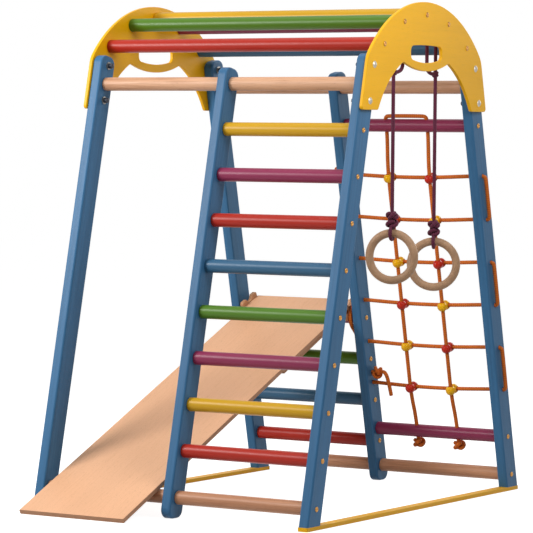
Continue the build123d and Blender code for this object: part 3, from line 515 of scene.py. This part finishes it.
def cordTube(name, line, side, radius, material, closed=False):
    # tube r(s, a) = R (1 - d + d cos(k a + w s) cos(k a - w s)) round the line, frames taken from side
    b = braidSet
    run = runAlong(line)
    at = np.linspace(0, run[-1], max(b["fewest"], int(run[-1] / (radius * b["step"]))))
    path = readAt(at, run, line)
    if closed:
        path, at = path[:-1], at[:-1]
        along = np.roll(path, -1, axis=0) - np.roll(path, 1, axis=0)
    else:
        along = np.gradient(path, axis=0)
    along /= np.linalg.norm(along, axis=1)[:, None]
    side = side(at) if callable(side) else np.broadcast_to(np.asarray(side, float), path.shape)
    out = side - (side * along).sum(1)[:, None] * along
    out /= np.linalg.norm(out, axis=1)[:, None]
    over = np.cross(along, out)
    angle = np.arange(b["around"]) * 2 * np.pi / b["around"]
    wave = 2 * np.pi / (b["pitch"] * 2 * radius)
    if closed:
        wave = 2 * np.pi * round(at[-1] * wave / 2 / np.pi) / at[-1]
    braid = np.cos(b["strands"] * angle + wave * at[:, None])
    braid = braid * np.cos(b["strands"] * angle - wave * at[:, None])
    size = np.full(len(at), radius)
    shift = np.zeros(len(at))
    if not closed:
        # rounded cut ends: the last rings shrink on a quarter circle
        quarter = np.linspace(0, np.pi / 2 - b["endGap"], b["endRings"] + 1)[1:]
        path, out, over, along, braid = (
            np.concatenate([np.repeat(v[:1], b["endRings"], 0), v, np.repeat(v[-1:], b["endRings"], 0)])
            for v in (path, out, over, along, braid))
        push = b["endLength"] * radius
        size = np.r_[radius * np.cos(quarter[::-1]), size, radius * np.cos(quarter)]
        shift = np.r_[-push * np.sin(quarter[::-1]), shift, push * np.sin(quarter)]
    reach = size[:, None] * (1 - b["depth"] + b["depth"] * braid)
    spoke = np.cos(angle)[None, :, None] * out[:, None] + np.sin(angle)[None, :, None] * over[:, None]
    points = (path + shift[:, None] * along)[:, None] + reach[..., None] * spoke
    count, sides = points.shape[:2]
    quads = gridQuads(count, sides, closed)
    points = points.reshape(-1, 3)
    braid = 0.5 + 0.5 * braid.ravel()
    if not closed:
        # each end is closed by quads that take two sides of the ring and meet in its middle
        last = (count - 1) * sides
        tip = len(points)
        points = np.concatenate([points, [points[:sides].mean(0), points[last:].mean(0)]])
        braid = np.r_[braid, 0.5, 0.5]
        here = np.arange(0, sides, 2)
        beside, ahead, middle = here + 1, (here + 2) % sides, np.full(len(here), tip)
        low = np.stack([here, middle, ahead, beside], -1)
        high = np.stack([last + here, last + beside, last + ahead, middle + 1], -1)
        quads = np.concatenate([quads, low, high])
    return skinMesh(name, points, quads, braid, material)


# knots and loops of cord; big, small and tall are in cord radii
knotSet = {"big": 1.55, "small": 0.95, "tall": 1.25, "points": 400, "loopPoints": 240}


def knotPiece(name, centre, axis, side, radius, material):
    # trefoil (a + b cos 3t)(cos 2t, sin 2t), c sin 3t, its threefold axis along the cord
    t = np.linspace(0, 2 * np.pi, knotSet["points"])
    axis, first, second = crossAxes(axis, side)
    big, small, tall = (radius * knotSet[key] for key in ("big", "small", "tall"))
    spoke = np.cos(2 * t)[:, None] * first + np.sin(2 * t)[:, None] * second
    line = np.array(centre) + (big + small * np.cos(3 * t))[:, None] * spoke
    line = line + (tall * np.sin(3 * t))[:, None] * axis
    run = runAlong(line)
    swell = np.cos(3 * t)[:, None] * spoke + np.sin(3 * t)[:, None] * axis
    return cordTube(name, line, lambda at: readAt(at, run, swell), radius, material, closed=True)


def hoopPiece(name, centre, axis, side, bend, radius, material):
    # a closed loop of cord on a circle about the axis
    t = np.linspace(0, 2 * np.pi, knotSet["loopPoints"])
    axis, first, second = crossAxes(axis, side)
    line = np.array(centre) + bend * (np.cos(t)[:, None] * first + np.sin(t)[:, None] * second)
    return cordTube(name, line, axis, radius, material, closed=True)


# climbing net: the cord's route points are those of the solids, in metres; startOut and
# footDown are in gaps, straight is in cord radii and hookHalf in bar radii
standBack = 0.06155  # the stand's middle in Y
netSet = {"foot": 0.519, "bar": 0.0175, "radius": 0.0055, "rows": 0.2845, "pitch": 0.118, "count": 6,
          "outer": 0.4135, "postIn": 0.3855, "middleLeft": -0.020, "middleRight": 0.008, "off": 0.007,
          "bulge": 0.0015, "lead": 0.018, "mouth": 0.004, "sag": 0.006, "hookRow": 0.469,
          "hookClear": 0.0035, "hookHalf": 0.8, "endRise": 0.029, "endOut": 0.017, "lowBar": 0.152,
          "highBar": 1.011, "gap": 0.0165, "startOut": 1.6, "footDown": 0.6, "straight": 2.4,
          "front": 0.015, "lobe": 0.023, "acrossLength": 3.46, "uprightLength": 1.98, "perLeg": 40,
          "footTurn": (1, 0.4, 0),
          "tail": ((0.042, -0.004, 0.0045), (0.056, -0.012, -0.013), (0.0615, -0.014, -0.059))}
leanSin, leanCos = math.sin(lean), math.cos(lean)
upPost = (0, -leanSin, leanCos)
offPost = (0, leanCos, leanSin)
thirds = [netSet["middleRight"] + (netSet["postIn"] - netSet["middleRight"]) * k / 3 for k in (1, 2)]


def netPoint(x, off, along):
    # a point of the leaning net: along the post from its foot, and off its plane
    y = standBack + netSet["foot"] - along * leanSin + off * leanCos
    return (x, y, along * leanCos + off * leanSin)


def acrossRoute(n):
    # down the net row by row, to and fro between the middle post and the right leg
    rows = [n["rows"] + n["pitch"] * k for k in range(n["count"])][::-1]
    right, left = n["outer"] + n["off"], n["middleLeft"] - n["off"]
    detour = -(n["bar"] + n["radius"] + n["hookClear"])
    half = n["bar"] * n["hookHalf"]
    route = [netPoint(n["middleLeft"] - n["gap"] * n["startOut"], 0, rows[0])]
    for k, row in enumerate(rows):
        run = [netPoint(n["middleRight"] + n["mouth"], 0, row), netPoint(thirds[0], 0, row - n["sag"]),
               netPoint(thirds[1], 0, row - n["sag"]), netPoint(n["postIn"] - n["mouth"], 0, row)]
        rightward = k % 2 == 0
        route += run if rightward else run[::-1]
        if k == n["count"] - 1:
            break
        x, way = (right, 1) if rightward else (left, -1)
        bowed, low = x + way * n["bulge"], rows[k + 1]
        inner = x - way * n["lead"]
        route += [netPoint(inner, 0, row), netPoint(x, 0, row), netPoint(bowed, 0, row - n["lead"])]
        if way < 0 and low < n["hookRow"] < row:
            # round the rung that is in the way
            route += [netPoint(bowed, detour, n["hookRow"] + half),
                      netPoint(bowed, detour, n["hookRow"] - half)]
        route += [netPoint(bowed, 0, low + n["lead"]), netPoint(x, 0, low), netPoint(inner, 0, low)]
    end = rows[-1] + n["endRise"]
    out = n["middleRight"] + n["endOut"] + 2 * n["radius"]
    route += [netPoint(left + n["lead"], 0, rows[-1]), netPoint(left, 0, rows[-1]), netPoint(left, 0, end),
              netPoint(left + n["lead"], 0, end), netPoint(out, 0, end)]
    return route + [netPoint(n["middleRight"] + x, off, end + up) for x, off, up in n["tail"]]


def uprightRoute(n):
    # up in front of the rows, over the high net bar and down again
    low = n["lowBar"] - n["bar"] - n["gap"]
    top = n["highBar"] + n["bar"] + n["off"]
    first, last = n["rows"] - n["lobe"], n["rows"] + n["pitch"] * (n["count"] - 1) + n["lobe"]

    def climb(x):
        straight = n["straight"] * n["radius"]
        enter, leave = n["lowBar"] + n["bar"] + straight, n["highBar"] - n["bar"] - straight
        return [netPoint(x, 0, low - n["gap"] * n["footDown"]), netPoint(x, 0, enter),
                netPoint(x, -n["front"], first), netPoint(x, -n["front"], 2 * first - enter),
                netPoint(x, -n["front"], 2 * last - leave), netPoint(x, -n["front"], last),
                netPoint(x, 0, leave), netPoint(x, 0, top - n["lead"]), netPoint(x, 0, top)]
    over = [netPoint(thirds[0] + n["lead"], 0, top + n["bulge"]),
            netPoint(thirds[1] - n["lead"], 0, top + n["bulge"])]
    return climb(thirds[0]) + over + climb(thirds[1])[::-1]


def layNet(n):
    orange = finish["orangeCord"]
    line = splineLine("netAcrossLine", acrossRoute(n), n["perLeg"])
    across = cordTube("netCordAcross", line, offPost, n["radius"], orange)
    topSpot = netPoint(n["middleLeft"] - n["gap"], 0, n["rows"] + n["pitch"] * (n["count"] - 1))
    endSpot = netPoint(n["middleRight"] + n["endOut"], 0, n["rows"] + n["endRise"])
    knots = [knotPiece("netKnotTop", topSpot, (1, 0, 0), upPost, n["radius"], orange),
             knotPiece("netKnotEnd", endSpot, (1, 0, 0), offPost, n["radius"], orange)]
    upLine = splineLine("netUprightLine", uprightRoute(n), n["perLeg"])
    upright = cordTube("netCordUpright", upLine, offPost, n["radius"], orange)
    low = n["lowBar"] - n["bar"] - n["gap"]
    feet = [knotPiece("netKnotFoot" + str(k + 1), netPoint(x, 0, low), upPost, n["footTurn"],
                      n["radius"], orange) for k, x in enumerate(thirds)]
    for piece, path, own, node, length in (
            (across, line, knots, "net_rope_across", n["acrossLength"]),
            (upright, upLine, feet, "net_rope_upright", n["uprightLength"])):
        for part in [piece] + own:
            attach(part, "stand")
        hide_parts(node)
    print("net laid, cord points", len(line), len(upLine))


layNet(netSet)

# net connectors: the lobes of the solids, swollen about their middles
beadSet = {"swell": 1.17, "reach": 0.05}


def grouped(points, reach):
    # piles of points that lie within reach of a first one
    left, piles = np.arange(len(points)), []
    while len(left):
        near = np.linalg.norm(points[left] - points[left[0]], axis=1) < reach
        piles.append(left[near])
        left = left[~near]
    return piles


def boxMiddle(points):
    return (points.min(axis=0) + points.max(axis=0)) / 2


def swellBeads(word, b):
    solid = nodes["net_connectors_" + word]
    mesh = solid.data.copy()
    mesh.transform(solid.matrix_world)
    points = np.empty(3 * len(mesh.vertices), np.float32)
    mesh.vertices.foreach_get("co", points)
    points = points.reshape(-1, 3)
    for pile in grouped(points, b["reach"]):
        middle = boxMiddle(points[pile])
        points[pile] = middle + b["swell"] * (points[pile] - middle)
    mesh.vertices.foreach_set("co", points.ravel())
    mesh.update()
    beads = bpy.data.objects.new("netBeads_" + word, mesh)
    scene.collection.objects.link(beads)
    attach(beads, "stand")
    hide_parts("net_connectors_" + word)
    print("connectors swollen:", word)


for word in ("red", "yellow"):
    swellBeads(word, beadSet)

# raised round screw heads with a socket, seated on those of the solids; a profile row is a
# share of the radius and a height over the solid's head, and along shrinks X, so that a long
# screw is one pile of points
headSet = {"radius": 0.0067, "reach": 0.02, "along": 0.25, "shaft": 0.0035, "turns": 24,
           "profile": ((1.0, -0.0004), (1.0, 0.0008), (0.93, 0.0017), (0.78, 0.0025), (0.60, 0.0029),
                       (0.48, 0.0029), (0.44, 0.0027), (0.42, 0.0010)), "corners": 6, "socketRings": 2}


def raiseHeads(node, h):
    # the profile turned about each screw's axis in X, its last rings drawn in to a hexagon
    solid = nodes[node]
    points = np.array([solid.matrix_world @ v.co for v in solid.data.vertices])
    turns, rings = h["turns"], len(h["profile"])
    turn = np.linspace(0, 2 * np.pi, turns, endpoint=False)
    corner = np.pi / h["corners"]
    hexagon = math.cos(corner) / np.cos(turn % (2 * corner) - corner)
    half = np.arange(turns // 2 - 1)
    lid = np.stack([half, half + 1, turns - 2 - half, turns - 1 - half], axis=1)
    top = (rings - 1) * turns
    skins, faces, count = [], [], 0
    for pile in grouped(points * (h["along"], 1, 1), h["reach"]):
        own = points[pile]
        middle = boxMiddle(own)
        wide = own[np.hypot(*(own - middle)[:, 1:].T) > h["shaft"]]
        out = 1 if wide[:, 0].mean() > middle[0] else -1
        face = out * (out * wide[:, 0]).max()
        for k, (share, rise) in enumerate(h["profile"]):
            reach = h["radius"] * share * (hexagon if k >= rings - h["socketRings"] else 1)
            skins.append(np.stack([np.full(turns, face + out * rise), middle[1] + reach * np.cos(turn),
                                   middle[2] + reach * np.sin(turn)], axis=1))
        faces += [(count + gridQuads(rings, turns, False))[:, ::out],
                  (count + lid)[:, ::-out], (count + top + lid)[:, ::out]]
        count += rings * turns
    skin = np.concatenate(skins)
    heads = skinMesh("heads_" + node, skin, np.concatenate(faces), np.zeros(len(skin)), finish["brass"])
    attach(heads, "stand")
    print("heads raised:", node, len(skins) // rings)


for node in ("rung_screws", "panel_screws"):
    raiseHeads(node, headSet)

# gym rings on their cords; lead is in cord radii
ringSet = {"radius": 0.005, "rod": 0.0104, "bend": 0.0605, "loop": 0.0595, "around": 120, "sides": 32,
           "bar": 0.0175, "clear": 0.0004, "drop": 0.111, "turn": 0.017, "sink": 0.0016, "lead": 12,
           "squeeze": 0.97, "knots": 2, "knotPitch": 0.020, "knotTilt": 0.12, "circle": 0.327,
           "crown": 0.9405, "step": 20.4, "wrapBend": 0.0052, "wrapRadius": 0.0037, "wrapStep": 0.0034,
           "wrapLean": 0.35, "perLeg": 60}
# here bar counts from the middle monkey bar, and side is where the ring hangs from it in Y
hung = {"front": {"bar": -1, "side": -1, "x": 0.404, "height": 0.653, "turn": 11.0, "length": 0.753},
        "back": {"bar": 1, "side": 1, "x": 0.372, "height": 0.624, "turn": 24.0, "length": 0.783}}


def roundRing(name, centre, along, r):
    # torus (R + r cos a)(up cos t + along sin t), r sin a across, upright in the plane through along
    turn = np.linspace(0, 2 * np.pi, r["around"], endpoint=False)[:, None]
    angle = np.linspace(0, 2 * np.pi, r["sides"], endpoint=False)[None]
    along, up = np.array(along), np.array((0, 0, 1))
    spoke = np.cos(turn)[..., None] * up + np.sin(turn)[..., None] * along
    points = np.array(centre) + (r["loop"] + r["rod"] * np.cos(angle))[..., None] * spoke
    points = points + r["rod"] * np.sin(angle)[..., None] * np.cross(along, up)
    points = points.reshape(-1, 3)
    quads = gridQuads(r["around"], r["sides"], True)[:, [0, 3, 2, 1]]  # turned to face outwards
    return skinMesh(name, points, quads, np.zeros(len(points)), finish["ring"])


def hangRing(word, r, h):
    plum = finish["plumCord"]
    angle = math.radians(r["step"] * h["bar"])
    barY, barZ = standBack + r["circle"] * math.sin(angle), r["crown"] + r["circle"] * math.cos(angle)
    hang = r["bar"] + r["radius"] + r["clear"]
    x, near, far = h["x"], barY + h["side"] * hang, barY - h["side"] * hang
    eyeRadius = r["radius"] * r["squeeze"]
    eye = r["rod"] + eyeRadius + r["clear"]
    rodZ = h["height"] + r["bend"]
    start = rodZ + eye - r["sink"]
    foot = barZ - r["drop"] - r["turn"]
    # up to the bar, over it and back down to the hitch
    route = [(x, near, start), (x, near, barZ - r["lead"] * r["radius"]), (x, near, barZ + hang),
             (x, far, barZ + hang), (x, far, foot + 2 * hang), (x, far, foot),
             (x, near - h["side"] * r["radius"], foot)]
    line = splineLine("ringLine_" + word, route, r["perLeg"])
    cord = cordTube("ringCord_" + word, line, (1, 0, 0), r["radius"], plum)
    along = (math.cos(math.radians(h["turn"])), math.sin(math.radians(h["turn"])), 0)
    own = [hoopPiece("ringEye_" + word, (x, near, rodZ), along, (0, 0, 1), eye, eyeRadius, plum)]
    for k, way in enumerate((-1, 1)):
        wrap = (x, near, foot + way * r["wrapStep"])
        own.append(hoopPiece("ringHitch_" + word + str(k + 1), wrap, (0, -r["wrapLean"] * h["side"], 1),
                             (1, 0, 0), r["wrapBend"], r["wrapRadius"], plum))
    for k in range(r["knots"]):
        height = start + 2 * r["radius"] + r["knotPitch"] * k
        own.append(knotPiece("ringKnot_" + word + str(k + 1), (x, near, height),
                             (r["knotTilt"] * (-1) ** k, 0, 1), (math.cos(k), math.sin(k), 0),
                             r["radius"], plum))
    ring = roundRing("ringHoop_" + word, (x, near, rodZ - r["loop"]), along, r)
    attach(ring, word + "_ring")
    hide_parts("gym_ring_" + word)
    for part in [cord] + own:
        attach(part, word + "_rope")
    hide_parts("ring_rope_" + word)
    print("ring hung:", word)


for word, facts in hung.items():
    hangRing(word, ringSet, facts)

# pale floor, white surround, soft lamps
stageSet = {"floor": (0.5, 0.5, 0.5, 1), "white": (1, 1, 1, 1), "floorGlow": 0.9, "ambient": 0.2,
            "span": 14.0, "under": -0.0005}


def seenRays(tree):
    # 1 for what the camera sees, in a mirror or through glass too
    rays = addNode(tree, "LightPath").node.outputs
    seen = rays["Is Camera Ray"]
    for ray in ("Is Glossy Ray", "Is Transmission Ray"):
        seen = addNode(tree, "Math", {0: seen, 1: rays[ray]}, operation="MAXIMUM")
    return seen


def makeFloor(s):
    half, under = s["span"], s["under"]
    mesh = bpy.data.meshes.new("floor")
    corners = [(x * half, y * half, under) for x, y in ((-1, -1), (1, -1), (1, 1), (-1, 1))]
    mesh.from_pydata(corners, [], [(0, 1, 2, 3)])
    floor = bpy.data.objects.new("floor", mesh)
    scene.collection.objects.link(floor)
    material = bpy.data.materials.new("paleFloor")
    tree = clearTree(material)
    share = addNode(tree, "Math", {0: seenRays(tree), 1: s["floorGlow"]}, operation="MULTIPLY")
    glow = addNode(tree, "Emission", {1: share})
    matte = addNode(tree, "BsdfDiffuse", {0: s["floor"]})
    endTree(tree, "Material", addNode(tree, "AddShader", {0: matte, 1: glow}))
    mesh.materials.append(material)


def makeRoom(s):
    scene.world = bpy.data.worlds.new("whiteRoom")
    tree = clearTree(scene.world)
    soft = addNode(tree, "Background", {0: s["white"], 1: s["ambient"]})
    white = addNode(tree, "Background", {0: s["white"]})
    endTree(tree, "World", addNode(tree, "MixShader", {0: seenRays(tree), 1: soft, 2: white}))


makeFloor(stageSet)
makeRoom(stageSet)

# each lamp's place, size and power
lampSet = {"key": ((-1.5, -1.95, 1.7), 1.0, 52), "fill": ((1.4, -0.5, 1.75), 0.9, 12.5),
           "top": ((-0.2, -0.3, 3.6), 2.0, 27), "back": ((0.4, 2.8, 1.9), 1.6, 26)}
lampAim = (0, 0, 0.6)


def makeLamp(name, place, size, power):
    data = bpy.data.lights.new(name, "AREA")
    data.size = size
    data.energy = power
    lamp = bpy.data.objects.new(name, data)
    lamp.location = place
    aim = Vector(lampAim) - Vector(place)
    lamp.rotation_euler = aim.to_track_quat("-Z", "Y").to_euler()
    scene.collection.objects.link(lamp)


for name, lamp in lampSet.items():
    makeLamp(name, *lamp)
print("stage and lamps set")
